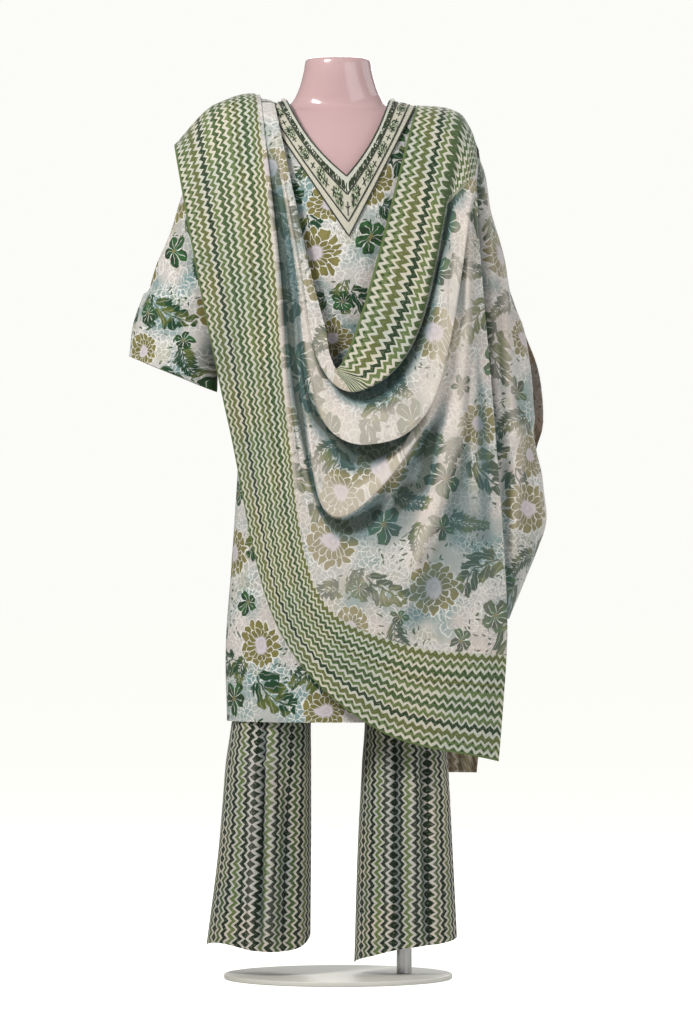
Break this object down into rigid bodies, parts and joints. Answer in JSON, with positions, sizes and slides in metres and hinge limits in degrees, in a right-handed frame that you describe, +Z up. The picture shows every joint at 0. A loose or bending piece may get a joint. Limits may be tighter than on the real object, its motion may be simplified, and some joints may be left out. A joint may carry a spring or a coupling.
{
  "type": "kurta set on dress form",
  "caption": "Short-sleeved V-neck kurta, straight trousers and a draped dupatta, worn by a limbless dress form that stands on a pole and a round base.",
  "frame": {"origin": "middle of the base's flat underside", "axes": "+Z up; the garment's front faces -Y; +X is to the right as the viewer sees the front"},
  "size_m": [0.6971, 0.38, 1.533],
  "materials": {
    "kurta_cloth": "matt printed cotton",
    "neck_border": "matt, with raised thread work",
    "trouser_cloth": "matt printed cotton",
    "dupatta_cloth": "sheer printed cotton with a slight sheen",
    "form_plastic": "gloss",
    "stand_steel": "brushed",
    "base_paint": "satin"
  },
  "bodies": {
    "root": {"kurta_front": "kurta_cloth", "kurta_back": "kurta_cloth", "sleeve_left": "kurta_cloth", "sleeve_right": "kurta_cloth", "neck_band": "neck_border", "neck_band_back": "neck_border", "trouser_left_front": "trouser_cloth", "trouser_left_back": "trouser_cloth", "trouser_right_front": "trouser_cloth", "trouser_right_back": "trouser_cloth", "trouser_waistband": "trouser_cloth", "dupatta_front": "dupatta_cloth", "dupatta_arm_fall": "dupatta_cloth", "dupatta_tail_left": "dupatta_cloth", "dupatta_tail_right": "dupatta_cloth", "form_torso": "form_plastic", "form_pole": "stand_steel", "pole_socket": "stand_steel", "form_base": "base_paint"}
  },
  "joints": []
}
